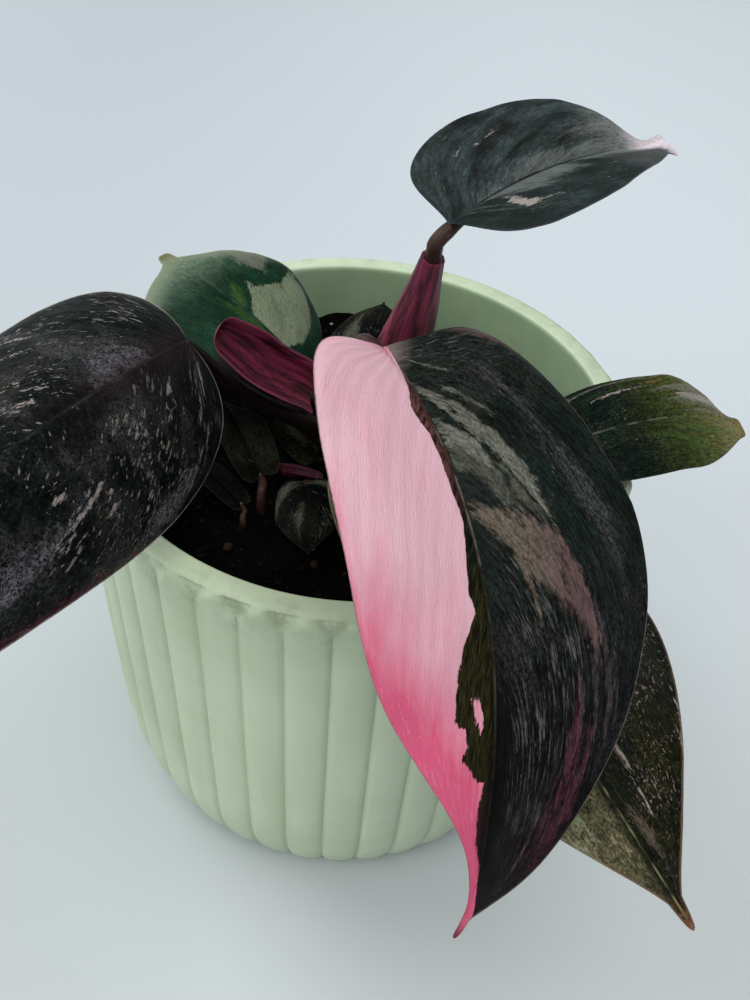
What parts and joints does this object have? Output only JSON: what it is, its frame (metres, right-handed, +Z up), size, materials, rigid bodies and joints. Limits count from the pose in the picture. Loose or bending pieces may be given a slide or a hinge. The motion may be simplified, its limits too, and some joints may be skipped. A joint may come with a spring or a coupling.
{
  "type": "potted philodendron",
  "caption": "Young houseplant with large drooping heart-shaped leaves, one of them half pink, growing on short wine-red stalks from soil in a ribbed mint-green pot.",
  "frame": {"origin": "centre of the pot's flat underside, on the surface that it stands on", "axes": "+Z up along the pot's axis; -Y towards the viewer of the picture, where the half-pink leaf hangs; +X to the viewer's right"},
  "size_m": [0.1812, 0.2114, 0.1983],
  "materials": {
    "pot": "satin mint-green glaze on fired clay",
    "soil": "moist, nearly black potting soil",
    "stem": "dull green bark",
    "sheath": "crimson, finely streaked lengthwise",
    "stalk": "wine red, smooth",
    "leaf_dark": "glossy near-black green with pale pink flecks along the veins",
    "leaf_green": "glossy mid green with cream patches",
    "leaf_half_pink": "one half pink, the other near-black green"
  },
  "bodies": {
    "root": {"pot": "pot", "soil": "soil", "stem": "stem", "sheath_top": "sheath", "sheath_left": "sheath", "sheath_foot": "sheath", "stalk_front": "stalk", "stalk_left": "stalk", "stalk_top": "stalk", "stalk_right": "stalk", "stalk_low": "stalk", "stalk_back": "stalk", "stalk_bud_speckled": "stalk", "stalk_bud_front": "stalk", "stalk_bud_funnel": "stalk", "stalk_bud_narrow": "stalk", "stalk_bud_back": "stalk", "blade_front": "leaf_half_pink", "blade_left": "leaf_dark", "blade_top": "leaf_dark", "blade_right": "leaf_dark", "blade_low": "leaf_dark", "blade_back": "leaf_green", "blade_bud_speckled": "leaf_dark", "blade_bud_front": "leaf_dark", "blade_bud_funnel": "leaf_green", "blade_bud_narrow": "leaf_green", "blade_bud_back": "leaf_green"}
  },
  "joints": []
}
